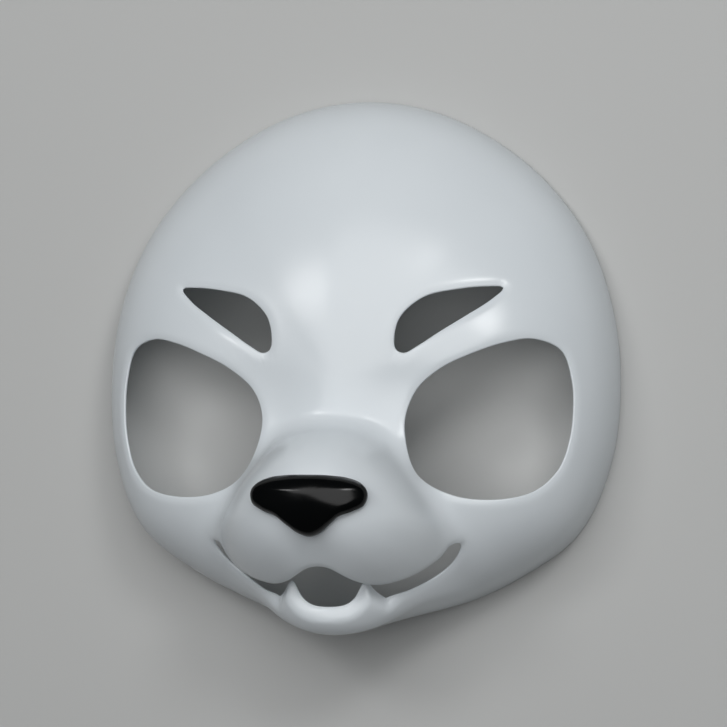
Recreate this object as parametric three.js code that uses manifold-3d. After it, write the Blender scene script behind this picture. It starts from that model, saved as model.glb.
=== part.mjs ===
// Animal face mask: a hollow moulded shell with eye, brow and mouth openings, and a black nose pad.
// The mask lies on its rim with its face up: X runs across the face, Y toward the crown and
// Z out of the face. The rim stands on the plane Z = 0. All sizes are in millimetres.

import * as THREE from "three";
import { mergeVertices } from "three/addons/utils/BufferGeometryUtils.js";
import Module from "manifold-3d";

const wasm = await Module();
wasm.setup();

// The dome of the head
const DOME_HALF_WIDTH = 114;
const DOME_HALF_HEIGHT = 128;
const DOME_DEPTH = 69;

// The muzzle, a blunt round form in front of the dome, which starts below the dome's middle
const MUZZLE_HALF_WIDTH = 55;
const MUZZLE_HALF_HEIGHT = 56;
const MUZZLE_DEPTH = 106;
const MUZZLE_DROP = 50;
const MUZZLE_BLEND = 16;

// The lower jaw: a lip that bulges forward from its own plane and runs back into the dome.
// The plane sweeps back by so much at the jaw's sides.
const JAW_HALF_WIDTH = 43;
const JAW_HALF_HEIGHT = 37.5;
const JAW_DROP = 71;
const JAW_FORWARD = 64;
const JAW_BULGE = 13;
const JAW_SWEEP = 20;
const JAW_BLEND = 20;

// The shallow dents beside the bridge
const SOCKET_DEPTH = 6;
const SOCKET_SPREAD = 22;

const WALL = 3;

// The bridge between the eyes is narrower than the muzzle that it runs down to.
// Each eye opening lies between it and the strip that is left at the side of the face.
const BRIDGE_SHARE = 0.582;
const SIDE_STRIP = 14;
const EYE_HEIGHT = 69;

// Each brow opening starts over this share of the bridge and rises outward.
const BROW_START_SHARE = 0.85;
const BROW_WIDTH = 45;
const BROW_HEIGHT = 30;

// The mouth, and the fang on each side of it, whose tip stays clear of the upper lip
const MOUTH_HALF_WIDTH = 54;
const MOUTH_HEIGHT = 28;
const FANG_WIDTH = 10.5;
const FANG_HEIGHT = 6;
const FANG_GAP = 0.5;

// The nose pad is glued on, with this much room for the glue.
const NOSE_WIDTH = 47;
const NOSE_HEIGHT = 23.5;
const NOSE_THICKNESS = 6;
const GLUE_GAP = 0.3;

// Fineness of the shell's two sheets, of each outline and of the nose pad
const SPOKES = 72;
const OUTER_RINGS = 36;
const INNER_RINGS = 20;
const OUTLINE_STEPS = 44;
const NOSE_STEPS = 48;

const WHITE_PLASTIC = { color: 0xd6dee3, roughness: 0.22, metalness: 0 };
const BLACK_PLASTIC = { color: 0x08090a, roughness: 0.15, metalness: 0 };

// Places that follow from the sizes above. The origin is halfway up the rim.
const bridgeHalfWidth = BRIDGE_SHARE * MUZZLE_HALF_WIDTH;
const domeY = (JAW_DROP + JAW_HALF_HEIGHT - DOME_HALF_HEIGHT) / 2;
const muzzleY = domeY - MUZZLE_DROP;
const jawY = domeY - JAW_DROP;
const socketY = domeY - 0.08 * DOME_HALF_HEIGHT;
const eyeY = domeY - 0.12 * DOME_HALF_HEIGHT;
const browY = domeY + 0.21 * DOME_HALF_HEIGHT;
const cornerY = muzzleY - 0.33 * MUZZLE_HALF_HEIGHT;
const noseTopY = muzzleY + 0.16 * MUZZLE_HALF_HEIGHT;
const above = MUZZLE_DEPTH + DOME_DEPTH;

// Shares every 15 degrees from the bottom of a form (-90) round its side to its top (90).
// Reach is the outline's distance as a share of the plain ellipse.
// Fullness is 2 for a round section, and more for a blunter one.
const DOME_REACH = [0.79, 0.8, 0.85, 0.91, 0.99, 1.01, 1.01, 1.015, 1.02, 1.01, 1, 1, 1];
const DOME_FULLNESS = [2.3, 2.45, 2.7, 2.9, 2.9, 2.5, 2.3, 2.2, 2, 1.9, 1.95, 2, 2.05];
const MUZZLE_REACH = [1, 1, 1.03, 1.08, 1.09, 1.04, 0.885, 0.785, 0.72, 0.69, 0.67, 0.65, 0.64];
const MUZZLE_FULLNESS = [2.05, 2.05, 2.1, 2.2, 2.35, 2.5, 2.6, 2.6, 2.6, 2.6, 2.6, 2.6, 2.6];

const DOME = {
  y: domeY,
  halfWidth: DOME_HALF_WIDTH,
  halfHeight: DOME_HALF_HEIGHT,
  depth: DOME_DEPTH,
  reach: DOME_REACH,
  fullness: DOME_FULLNESS,
};
const MUZZLE = {
  y: muzzleY,
  halfWidth: MUZZLE_HALF_WIDTH,
  halfHeight: MUZZLE_HALF_HEIGHT,
  depth: MUZZLE_DEPTH,
  reach: MUZZLE_REACH,
  fullness: MUZZLE_FULLNESS,
};

const smooth = THREE.MathUtils.smoothstep;

// A smooth curve through the table's values, read at an angle in degrees
function tableAt(table, degrees) {
  const last = table.length - 1;
  const place = ((degrees + 90) / 180) * last;
  const start = Math.min(Math.max(Math.floor(place), 0), last - 1);
  const t = place - start;
  const value = (k) => table[k < 0 ? -k : k > last ? 2 * last - k : k];
  const [a, b, c, d] = [start - 1, start, start + 1, start + 2].map(value);
  const bend = 2 * a - 5 * b + 4 * c - d;
  const twist = 3 * b - a - 3 * c + d;
  return 0.5 * (2 * b + (c - a) * t + bend * t ** 2 + twist * t ** 3);
}

// Joins two forms with a soft hollow where they meet
function softUnion(a, b, blend) {
  const near = Math.max(blend - Math.abs(a - b), 0) / blend;
  return Math.min(a, b) - (near * near * blend) / 4;
}

// Below zero inside a form like a blunt lens, and about the distance to it outside
function lensField(form, p) {
  const across = Math.abs(p.x) / form.halfWidth;
  const up = (p.y - form.y) / form.halfHeight;
  const degrees = THREE.MathUtils.radToDeg(Math.atan2(up, across));
  const share = Math.hypot(across, up) / tableAt(form.reach, degrees);
  const power = tableAt(form.fullness, degrees);
  const size = Math.max((share ** power + (Math.abs(p.z) / form.depth) ** power) ** (1 / power), 1e-9);
  return Math.hypot(p.x, p.y - form.y, p.z) * (1 - 1 / size);
}

function domeField(p) {
  const dent = (x) => {
    const away = Math.hypot(p.x - x, p.y - socketY) / SOCKET_SPREAD;
    return SOCKET_DEPTH * Math.exp(-away * away);
  };
  return lensField(DOME, p) + dent(bridgeHalfWidth) + dent(-bridgeHalfWidth);
}

function jawField(p) {
  const forward = p.z - JAW_FORWARD + JAW_SWEEP * (p.x / JAW_HALF_WIDTH) ** 2;
  const depth = forward > 0 ? JAW_BULGE : JAW_FORWARD + WALL;
  const size = Math.hypot(p.x / JAW_HALF_WIDTH, (p.y - jawY) / JAW_HALF_HEIGHT, forward / depth);
  return Math.hypot(p.x, p.y - jawY, forward) * (1 - 1 / Math.max(size, 1e-9));
}

const upperField = (p) => softUnion(domeField(p), lensField(MUZZLE, p), MUZZLE_BLEND);
const lowerField = (p) => softUnion(domeField(p), jawField(p), JAW_BLEND);

// The middle of the mouth, which parts the upper form from the lower one
function mouthLineY(x) {
  const level = 0.38;
  const toCorner = Math.max(Math.abs(x) / MOUTH_HALF_WIDTH - level, 0) / (1 - level);
  return cornerY - MOUTH_HEIGHT * (0.67 - 0.64 * toCorner ** 2.3);
}

function faceField(p) {
  const beyondCorner = smooth(Math.abs(p.x), 0.93 * MOUTH_HALF_WIDTH, 1.2 * MOUTH_HALF_WIDTH);
  const width = MOUTH_HEIGHT * (0.004 + beyondCorner / 2);
  const upper = smooth(p.y - mouthLineY(p.x), -width, width);
  if (upper === 1) return upperField(p);
  if (upper === 0) return lowerField(p);
  return upper * upperField(p) + (1 - upper) * lowerField(p);
}

// The first place where a ray that comes in from outside meets the field's surface
function castInward(field, start, direction, length) {
  const point = new THREE.Vector3();
  const valueAt = (s) => field(point.copy(start).addScaledVector(direction, s));
  const strides = 80;
  let inside = 1;
  while (inside < strides && valueAt((inside / strides) * length) > 0) inside += 1;
  let [near, far] = [((inside - 1) / strides) * length, (inside / strides) * length];
  for (let halving = 0; halving < 22; halving += 1) {
    const middle = (near + far) / 2;
    if (valueAt(middle) > 0) near = middle;
    else far = middle;
  }
  return start.clone().addScaledVector(direction, far);
}

function normalAt(field, point) {
  const step = 0.05;
  const slope = (axis) => {
    const offset = new THREE.Vector3().setComponent(axis, step);
    return field(point.clone().add(offset)) - field(point.clone().sub(offset));
  };
  return new THREE.Vector3(slope(0), slope(1), slope(2)).normalize();
}

// The skin in front of a place in the front view
function skinAt(field, x, y) {
  return castInward(field, new THREE.Vector3(x, y, above), new THREE.Vector3(0, 0, -1), above);
}

function solidFrom(vertices, triangles) {
  const geometry = new THREE.BufferGeometry().setFromPoints(vertices).setIndex(triangles);
  const merged = mergeVertices(geometry, 1e-4);
  return new wasm.Manifold(
    new wasm.Mesh({
      numProp: 3,
      vertProperties: merged.attributes.position.array,
      triVerts: new Uint32Array(merged.index.array),
    }),
  );
}

function meshFrom(solid, name, look) {
  const { vertProperties, triVerts } = solid.getMesh();
  const geometry = new THREE.BufferGeometry();
  geometry.setAttribute("position", new THREE.BufferAttribute(vertProperties, 3));
  geometry.setIndex(new THREE.BufferAttribute(triVerts, 1));
  geometry.computeVertexNormals();
  const mesh = new THREE.Mesh(geometry, new THREE.MeshStandardMaterial(look));
  mesh.name = name;
  return mesh;
}

// Directions to the rim from a point low in the face, spaced evenly along the rim
function rimAngles(heart) {
  const samples = 720;
  const reach = 1.5 * (DOME_HALF_WIDTH + DOME_HALF_HEIGHT);
  const points = Array.from({ length: samples + 1 }, (_, i) => {
    const angle = (i / samples) * 2 * Math.PI - Math.PI / 2;
    const outward = new THREE.Vector3(Math.cos(angle), Math.sin(angle), 0);
    const start = new THREE.Vector3(0, heart.y, 0).addScaledVector(outward, reach);
    return castInward(faceField, start, outward.negate(), reach);
  });
  const path = new THREE.CurvePath();
  points.slice(1).forEach((end, i) => path.add(new THREE.LineCurve3(points[i], end)));
  return Array.from({ length: SPOKES }, (_, i) => {
    const rim = path.getPointAt(i / SPOKES);
    const angle = Math.atan2(rim.y - heart.y, rim.x);
    return { angle, tilt: Math.atan2(Math.hypot(rim.x, rim.y - heart.y), -heart.z) };
  });
}

// One sheet: a pole in front of the heart, and rings of points out to the rim
function sheetPoints(spokes, heart, rings, place) {
  const pole = place(new THREE.Vector3(0, 0, 1), false);
  const ringPoints = Array.from({ length: rings }, (_, ring) =>
    spokes.map(({ angle, tilt }) => {
      const lean = (tilt * (ring + 1)) / rings;
      const side = Math.sin(lean);
      const direction = new THREE.Vector3(side * Math.cos(angle), side * Math.sin(angle), Math.cos(lean));
      return place(direction, ring === rings - 1);
    }),
  );
  return [pole, ...ringPoints.flat()];
}

// Triangles of a sheet whose points start at an offset, turned to face out or in
function sheetTriangles(rings, offset, outward) {
  const index = (ring, spoke) => offset + 1 + ring * SPOKES + (spoke % SPOKES);
  const triangles = [];
  const add = (a, b, c) => triangles.push(...(outward ? [a, b, c] : [a, c, b]));
  for (let spoke = 0; spoke < SPOKES; spoke += 1) {
    add(offset, index(0, spoke), index(0, spoke + 1));
    for (let ring = 1; ring < rings; ring += 1) {
      const [a, b] = [index(ring - 1, spoke), index(ring, spoke)];
      const [c, d] = [index(ring, spoke + 1), index(ring - 1, spoke + 1)];
      add(a, b, c);
      add(a, c, d);
    }
  }
  return triangles;
}

function uncutShell() {
  const heart = new THREE.Vector3(0, muzzleY, 0.3 * MUZZLE_DEPTH);
  const spokes = rimAngles(heart);
  const reach = 2 * (DOME_HALF_WIDTH + DOME_HALF_HEIGHT);
  const outerPlace = (direction, atRim) => {
    const start = heart.clone().addScaledVector(direction, reach);
    const point = castInward(faceField, start, direction.clone().negate(), reach);
    if (atRim) point.z = 0;
    return point;
  };
  const innerPlace = (direction, atRim) => {
    const point = outerPlace(direction, atRim);
    const normal = normalAt(faceField, point);
    if (atRim) normal.setZ(0).normalize();
    return point.addScaledVector(normal, -WALL);
  };
  const outer = sheetPoints(spokes, heart, OUTER_RINGS, outerPlace);
  const inner = sheetPoints(spokes, heart, INNER_RINGS, innerPlace);
  const outerRim = outer.length - SPOKES;
  const innerRim = outer.length + inner.length - SPOKES;
  const rim = spokes.flatMap((_, i) => {
    const next = (i + 1) % SPOKES;
    const [a, b] = [outerRim + i, outerRim + next];
    const [c, d] = [innerRim + i, innerRim + next];
    return [a, c, b, b, c, d];
  });
  const outside = sheetTriangles(OUTER_RINGS, 0, true);
  const inside = sheetTriangles(INNER_RINGS, outer.length, false);
  return solidFrom([...outer, ...inner], [...outside, ...inside, ...rim]);
}

// A cutter whose walls stand square on the skin through the edge of an opening,
// and run on past the skin's deepest place
function punch(edge) {
  const clear = WALL / 2;
  const rings = [[], [], []];
  for (const { x, y, field } of edge) {
    const skin = skinAt(field, x, y);
    const normal = normalAt(field, skin);
    const outside = skin.clone().addScaledVector(normal, clear);
    const inside = skin.clone().addScaledVector(normal, -WALL - clear);
    rings[0].push(outside.clone().setZ(above));
    rings[1].push(outside);
    rings[2].push(inside);
  }
  const deepest = Math.min(...rings[2].map((p) => p.z)) - clear;
  rings.push(rings[2].map((p) => p.clone().setZ(deepest)));
  const count = edge.length;
  const flat = edge.map(({ x, y }) => new THREE.Vector2(x, y));
  const cap = THREE.ShapeUtils.triangulateShape(flat, []);
  const triangles = cap.flatMap(([a, b, c]) => [a, b, c, 3 * count + a, 3 * count + c, 3 * count + b]);
  for (let ring = 0; ring < 3; ring += 1) {
    for (let i = 0; i < count; i += 1) {
      const [a, b] = [ring * count + i, ring * count + ((i + 1) % count)];
      triangles.push(a, a + count, b, b, a + count, b + count);
    }
  }
  return solidFrom(rings.flat(), triangles);
}

// The same edge on the other side of the face, still turning the same way
const mirrored = (edge) => edge.map((p) => ({ ...p, x: -p.x })).reverse();

// An even run of points along a smooth closed curve, scaled to a box
function closedOutline(shares, steps, toPlace) {
  const places = shares.map(([u, v]) => new THREE.Vector3(...toPlace(u, v), 0));
  const curve = new THREE.CatmullRomCurve3(places, true);
  return curve.getSpacedPoints(steps).slice(0, -1);
}

// Outlines on the right side of the face, as shares of the box that each one fills.
// Across runs from -1 at the nose side to 1 at the ear side, and up from -1 to 1.
const EYE_SHARES = [
  [0.55, 1], [0.22, 0.93], [-0.2, 0.76], [-0.58, 0.62], [-0.88, 0.36], [-1, 0], [-0.93, -0.36],
  [-0.74, -0.7], [-0.4, -0.93], [0.1, -1], [0.55, -0.89], [0.8, -0.6], [0.93, -0.25], [1, 0.1],
  [0.98, 0.5], [0.84, 0.86],
];
const BROW_SHARES = [
  [0.98, 0.96], [0.62, 0.98], [0.1, 0.88], [-0.4, 0.7], [-0.72, 0.38], [-0.92, 0], [-1, -0.5],
  [-0.97, -0.88], [-0.82, -0.98], [-0.55, -0.76], [-0.15, -0.35], [0.35, 0.15], [0.75, 0.58],
];

const onUpperField = ({ x, y }) => ({ x, y, field: upperField });

function eyeEdge() {
  const halfWidth = (DOME_HALF_WIDTH - SIDE_STRIP - bridgeHalfWidth) / 2;
  const middle = bridgeHalfWidth + halfWidth;
  const toPlace = (u, v) => [middle + u * halfWidth, eyeY + (v * EYE_HEIGHT) / 2];
  return closedOutline(EYE_SHARES, OUTLINE_STEPS, toPlace).map(onUpperField);
}

function browEdge() {
  const middle = BROW_START_SHARE * bridgeHalfWidth + BROW_WIDTH / 2;
  const toPlace = (u, v) => [middle + (u * BROW_WIDTH) / 2, browY + (v * BROW_HEIGHT) / 2];
  return closedOutline(BROW_SHARES, OUTLINE_STEPS, toPlace).map(onUpperField);
}

// A smooth run of points through a few chosen places on one lip
function lipRun(places, steps, field) {
  const curve = new THREE.CatmullRomCurve3(places.map(([x, y]) => new THREE.Vector3(x, y, 0)));
  return curve.getSpacedPoints(steps).map(({ x, y }) => ({ x, y, field }));
}

// The mouth's right half, as shares of its half width and of its height below the corners
const UPPER_LIP_SHARES = [
  [0.97, 0], [0.92, 0.15], [0.86, 0.29], [0.7, 0.52], [0.5, 0.65], [0.39, 0.67], [0.28, 0.625],
  [0.2, 0.54], [0.1, 0.42], [0, 0.36],
];
const LOWER_LIP_SHARES = [[0.525, 0.86], [0.61, 0.77], [0.75, 0.625], [0.89, 0.44], [0.97, 0.27], [1, 0.08]];

// The middles of a fang's two sides, as shares of its width beside the tip and of its height
// below the tip
const FANG_INNER_SHARES = [-0.3, 0.8];
const FANG_OUTER_SHARES = [0.3, 0.55];

// The upper lip dips on each side of a notch, and the lower lip carries the fangs.
function mouthEdge() {
  const toPlace = ([across, down]) => [across * MOUTH_HALF_WIDTH, cornerY - down * MOUTH_HEIGHT];
  const upper = lipRun(UPPER_LIP_SHARES.map(toPlace), 22, upperField);
  const fangX = MOUTH_HALF_WIDTH / 3;
  const lowest = Math.max(...UPPER_LIP_SHARES.map(([, down]) => down));
  const tip = [fangX, cornerY - lowest * MOUTH_HEIGHT - FANG_GAP];
  const besideTip = ([across, down]) => [tip[0] + across * FANG_WIDTH, tip[1] - down * FANG_HEIGHT];
  const [innerSide, outerSide] = [FANG_INNER_SHARES, FANG_OUTER_SHARES].map(besideTip);
  const outerBase = LOWER_LIP_SHARES.map(toPlace);
  const middle = lipRun([toPlace([0, 1]), toPlace([0.14, 0.97]), innerSide, tip], 9, lowerField);
  const fang = lipRun([tip, outerSide, outerBase[0]], 4, lowerField);
  const cheek = lipRun(outerBase, 10, lowerField);
  const right = [...middle, ...fang.slice(1), ...cheek.slice(1), ...upper];
  return [...right, ...mirrored(right).slice(1, -1)];
}

// The nose pad's right half outline, from the middle of its top to the middle of its bottom.
// Across is a share of the half width, down a share of the height.
const NOSE_SHARES = [
  [0, 0], [0.35, 0.01], [0.65, 0.06], [0.88, 0.17], [1, 0.36], [0.97, 0.53], [0.8, 0.62], [0.58, 0.7],
  [0.42, 0.82], [0.22, 0.95], [0, 1],
];
// The height of the pad's widest middle, as a share of the pad's height down from its top
const NOSE_MIDDLE_SHARE = 0.42;
// How the pad rounds over from its back edge: share of the outline, share of the thickness
const NOSE_SECTION = [[1, 0], [1, 0.3], [0.97, 0.55], [0.89, 0.78], [0.74, 0.93], [0.5, 1], [0.22, 1]];

function nosePad() {
  const halfWidth = NOSE_WIDTH / 2;
  const middleY = noseTopY - NOSE_MIDDLE_SHARE * NOSE_HEIGHT;
  const half = NOSE_SHARES.map(([u, v]) => [u * halfWidth, noseTopY - v * NOSE_HEIGHT]);
  const left = half.slice(1, -1).reverse().map(([x, y]) => [-x, y]);
  const outline = closedOutline([...half, ...left].reverse(), NOSE_STEPS + 1, (x, y) => [x, y]);
  const place = (x, y, height) => {
    const skin = skinAt(upperField, x, y);
    return skin.addScaledVector(normalAt(upperField, skin), GLUE_GAP + height);
  };
  const rings = NOSE_SECTION.map(([share, height]) =>
    outline.map((p) => place(p.x * share, middleY + (p.y - middleY) * share, height * NOSE_THICKNESS)),
  );
  const backRings = NOSE_SECTION.slice(3).map(([share]) =>
    outline.map((p) => place(p.x * share, middleY + (p.y - middleY) * share, 0)),
  );
  const stack = [...backRings.reverse(), ...rings];
  const count = outline.length;
  const back = place(0, middleY, 0);
  const front = place(0, middleY, NOSE_THICKNESS);
  const triangles = [];
  stack.slice(1).forEach((_, ring) => {
    for (let i = 0; i < count; i += 1) {
      const [a, b] = [ring * count + i, ring * count + ((i + 1) % count)];
      triangles.push(a, b, b + count, a, b + count, a + count);
    }
  });
  const [backIndex, frontIndex] = [stack.length * count, stack.length * count + 1];
  const lastRing = (stack.length - 1) * count;
  for (let i = 0; i < count; i += 1) {
    const next = (i + 1) % count;
    triangles.push(backIndex, next, i, frontIndex, lastRing + i, lastRing + next);
  }
  return solidFrom([...stack.flat(), back, front], triangles);
}

const openings = [mouthEdge(), ...[eyeEdge(), browEdge()].flatMap((edge) => [edge, mirrored(edge)])];
const shell = openings.reduce((solid, edge) => solid.subtract(punch(edge)), uncutShell());

const mask = new THREE.Group();
mask.add(meshFrom(shell, "face_shell", WHITE_PLASTIC), meshFrom(nosePad(), "nose", BLACK_PLASTIC));
mask.position.y = -new THREE.Box3().setFromObject(mask).getCenter(new THREE.Vector3()).y;

export default mask;
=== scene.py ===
# %% [markdown]
# # An animal face mask in moulded plastic
#
# The real thing is one hollow shell of glossy white plastic, open at the back, with two eye
# openings, two brow openings and a mouth cut through it, and a glossy black nose pad glued to
# the muzzle. It lies on its rim with its face up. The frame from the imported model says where
# everything is, and this lesson gives the shell and the pad their fine shape and their finish.

import bmesh
import bpy
import numpy as np
from mathutils import Matrix, Vector, geometry


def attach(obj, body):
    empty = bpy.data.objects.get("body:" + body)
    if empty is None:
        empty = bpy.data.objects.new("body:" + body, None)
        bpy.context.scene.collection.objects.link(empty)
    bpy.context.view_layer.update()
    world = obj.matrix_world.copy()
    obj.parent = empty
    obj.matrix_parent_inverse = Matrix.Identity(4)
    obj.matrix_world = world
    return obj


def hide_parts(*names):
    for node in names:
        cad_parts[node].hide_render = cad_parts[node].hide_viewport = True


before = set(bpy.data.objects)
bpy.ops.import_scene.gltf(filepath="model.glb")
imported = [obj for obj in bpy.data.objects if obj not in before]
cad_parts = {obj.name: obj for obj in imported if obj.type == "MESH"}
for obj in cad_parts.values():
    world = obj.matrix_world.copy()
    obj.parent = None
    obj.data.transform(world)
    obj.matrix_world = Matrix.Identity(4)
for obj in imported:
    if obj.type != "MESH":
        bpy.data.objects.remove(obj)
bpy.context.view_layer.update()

# %% [markdown]
# The shape is made of three plain forms, a dome, a muzzle and a jaw, each a blunt lens whose
# outline and section follow a short table. The main sizes are the frame's own. Small ones are
# refined here, where the render shows them: the jaw's front is fuller, the eye sockets are a
# little deeper, the hollow round the muzzle is tighter, and the outlines of the eyes, the lips
# and the nose move by a millimetre or two. All sizes are in millimetres, as a maker thinks about
# a mask. Blender works in metres, so points are multiplied by MM on their way into a mesh.

# %% Sizes of the forms, in millimetres
MM = 0.001
DOME_HALF_WIDTH, DOME_HALF_HEIGHT, DOME_DEPTH = 114, 128, 69
MUZZLE_HALF_WIDTH, MUZZLE_HALF_HEIGHT, MUZZLE_DEPTH = 55, 56, 106
MUZZLE_DROP, MUZZLE_BLEND = 50, 11
JAW_HALF_WIDTH, JAW_HALF_HEIGHT, JAW_DROP = 43, 37.5, 71
JAW_FORWARD, JAW_BULGE, JAW_SWEEP, JAW_BLEND = 57, 20, 20, 20
SOCKET_DEPTH, SOCKET_SPREAD = 7, 22
BRIDGE_SHARE = 0.582
BRIDGE_HALF_WIDTH = BRIDGE_SHARE * MUZZLE_HALF_WIDTH
SIDE_STRIP, EYE_HEIGHT = 14, 69
BROW_WIDTH, BROW_HEIGHT, BROW_START_SHARE = 45, 30, 0.85
MOUTH_HALF_WIDTH, MOUTH_HEIGHT = 54, 28
NOSE_WIDTH, NOSE_HEIGHT, NOSE_THICKNESS = 47, 23.5, 6
WALL = 3.0

# Places along the face, as shares of the half height of the dome or of the muzzle
SOCKET_DROP, EYE_DROP, BROW_RISE = 0.08, 0.12, 0.21
CORNER_DROP, NOSE_RISE = 0.33, 0.16

dome_y = (JAW_DROP + JAW_HALF_HEIGHT - DOME_HALF_HEIGHT) / 2
muzzle_y = dome_y - MUZZLE_DROP
jaw_y = dome_y - JAW_DROP
socket_y = dome_y - SOCKET_DROP * DOME_HALF_HEIGHT
eye_y = dome_y - EYE_DROP * DOME_HALF_HEIGHT
brow_y = dome_y + BROW_RISE * DOME_HALF_HEIGHT
corner_y = muzzle_y - CORNER_DROP * MUZZLE_HALF_HEIGHT
nose_top_y = muzzle_y + NOSE_RISE * MUZZLE_HALF_HEIGHT

# %% [markdown]
# Each table has one value for every 15 degrees round a form, from its bottom to its top.
# Reach widens or narrows the outline there, and fullness makes the section blunter than a
# round one. A smooth curve through a table's values keeps the plastic free of ridges.

# %% Tables of the forms
DOME_REACH = [0.79, 0.8, 0.85, 0.91, 0.99, 1.01, 1.01, 1.015, 1.02, 1.01, 1, 1, 1]
DOME_FULLNESS = [2.3, 2.45, 2.7, 2.9, 2.9, 2.5, 2.3, 2.2, 2, 1.9, 1.95, 2, 2.05]
MUZZLE_REACH = [1, 1, 1.03, 1.08, 1.09, 1.04, 0.885, 0.785, 0.72, 0.69, 0.67, 0.65, 0.64]
MUZZLE_FULLNESS = [2.05, 2.05, 2.1, 2.2, 2.35, 2.5, 2.6, 2.6, 2.6, 2.6, 2.6, 2.6, 2.6]
HALF_DEGREES = np.linspace(-90, 90, 361)


def smooth_table(table):
    """A smooth curve through a table's values, sampled every half degree."""
    padded = np.array([table[1], *table, table[-2]], float)
    place = np.linspace(0, len(table) - 1, len(HALF_DEGREES))
    start = np.minimum(place.astype(int), len(table) - 2)
    t = place - start
    a, b, c, d = (padded[start + k] for k in range(4))
    bend = 2 * a - 5 * b + 4 * c - d
    twist = 3 * b - a - 3 * c + d
    return 0.5 * (2 * b + (c - a) * t + bend * t**2 + twist * t**3)


FORMS = {
    "dome": (dome_y, DOME_HALF_WIDTH, DOME_HALF_HEIGHT, DOME_DEPTH, DOME_REACH, DOME_FULLNESS),
    "muzzle": (
        muzzle_y,
        MUZZLE_HALF_WIDTH,
        MUZZLE_HALF_HEIGHT,
        MUZZLE_DEPTH,
        MUZZLE_REACH,
        MUZZLE_FULLNESS,
    ),
}
curves = {name: [smooth_table(table) for table in form[4:]] for name, form in FORMS.items()}
print("forms:", {name: form[1:4] for name, form in FORMS.items()})

# %% [markdown]
# A field gives a number for every place: below zero inside a form, above zero outside. Two
# forms join in a soft hollow where their fields are blended, which is how the muzzle grows out
# of the face without a seam. The alternative, metaballs, has no sharp control of the outline.

# %% Fields of the three forms


def ramp(value, low, high):
    """Rises smoothly from 0 at low to 1 at high."""
    t = np.clip((value - low) / (high - low), 0, 1)
    return t * t * (3 - 2 * t)


def soft_union(a, b, blend):
    """Two fields as one, with a soft hollow where they meet."""
    near = np.maximum(blend - np.abs(a - b), 0) / blend
    return np.minimum(a, b) - near * near * blend / 4


def lens_field(name, p):
    """A blunt lens, from the tables of its form."""
    middle_y, half_width, half_height, depth = FORMS[name][:4]
    across = np.abs(p[:, 0]) / half_width
    up = (p[:, 1] - middle_y) / half_height
    degrees = np.degrees(np.arctan2(up, across))
    reach, fullness = (np.interp(degrees, HALF_DEGREES, curve) for curve in curves[name])
    share = np.hypot(across, up) / reach
    size = (share**fullness + (np.abs(p[:, 2]) / depth) ** fullness) ** (1 / fullness)
    away = np.linalg.norm(p - [0, middle_y, 0], axis=1)
    return away * (1 - 1 / np.maximum(size, 1e-9))


def dome_field(p):
    """The dome, with a shallow socket on each side of the bridge."""
    field = lens_field("dome", p)
    for side in (-1, 1):
        away = np.hypot(p[:, 0] - side * BRIDGE_HALF_WIDTH, p[:, 1] - socket_y) / SOCKET_SPREAD
        field = field + SOCKET_DEPTH * np.exp(-(away**2))
    return field


def jaw_field(p):
    """The jaw: straight at the back, rounded in front and swept back at its sides."""
    forward = p[:, 2] - JAW_FORWARD + JAW_SWEEP * (p[:, 0] / JAW_HALF_WIDTH) ** 2
    depth = np.where(forward > 0, JAW_BULGE, JAW_FORWARD + WALL)
    offset = np.column_stack([p[:, 0], p[:, 1] - jaw_y, forward])
    shares = offset / np.column_stack(
        [np.full(len(p), JAW_HALF_WIDTH), np.full(len(p), JAW_HALF_HEIGHT), depth]
    )
    size = np.maximum(np.linalg.norm(shares, axis=1), 1e-9)
    return np.linalg.norm(offset, axis=1) * (1 - 1 / size)


# %% [markdown]
# The upper lip has two soft lobes, with a shallow valley between them that runs from the nose
# to the notch in the lip. A gentle dent in the upper form makes it.

# %% Fields of the upper and the lower half
VALLEY_DEPTH, VALLEY_WIDTH, VALLEY_HEIGHT = 4.2, 9, 14
VALLEY_DROP = 0.25
valley_y = corner_y - VALLEY_DROP * MOUTH_HEIGHT


def upper_field(p):
    """The dome and the muzzle as one, with the valley."""
    away = np.hypot(p[:, 0] / VALLEY_WIDTH, (p[:, 1] - valley_y) / VALLEY_HEIGHT)
    joined = soft_union(dome_field(p), lens_field("muzzle", p), MUZZLE_BLEND)
    return joined + VALLEY_DEPTH * np.exp(-(away**2))


def lower_field(p):
    """The dome and the jaw as one."""
    return soft_union(dome_field(p), jaw_field(p), JAW_BLEND)


# %% [markdown]
# A ray that comes in from outside stops where the field turns negative: that is the skin. The
# slope of the field there is the skin's own outward direction, and it is exact, so nothing
# about the wall or the lips depends on how finely the skin is divided.

# %% Finding the skin
STRIDES, HALVINGS = 30, 18


def cast_inward(field, start, direction, length):
    """The first place on each ray where it meets the field's surface."""
    near = np.zeros(len(start))
    found = np.zeros(len(start), bool)
    for stride in range(1, STRIDES + 1):
        reach = length * stride / STRIDES
        open_rays = np.nonzero(~found)[0]
        if not len(open_rays):
            break
        inside = field(start[open_rays] + direction[open_rays] * reach) <= 0
        near[open_rays[~inside]] = reach
        found[open_rays[inside]] = True
    far = near + length / STRIDES
    for _ in range(HALVINGS):
        middle = (near + far) / 2
        outside = field(start + direction * middle[:, None]) > 0
        near = np.where(outside, middle, near)
        far = np.where(outside, far, middle)
    return start + direction * far[:, None]


def outward_at(field, p, step=0.05):
    """The direction straight out of the skin."""
    slopes = [field(p + step * axis) - field(p - step * axis) for axis in np.eye(3)]
    slopes = np.column_stack(slopes)
    return slopes / np.linalg.norm(slopes, axis=1)[:, None]


def skin_in_front(field, xy):
    """The skin in front of places in the front view."""
    height = MUZZLE_DEPTH + DOME_DEPTH
    start = np.column_stack([xy, np.full(len(xy), height)])
    return cast_inward(field, start, np.tile([0.0, 0.0, -1.0], (len(xy), 1)), height)


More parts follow.
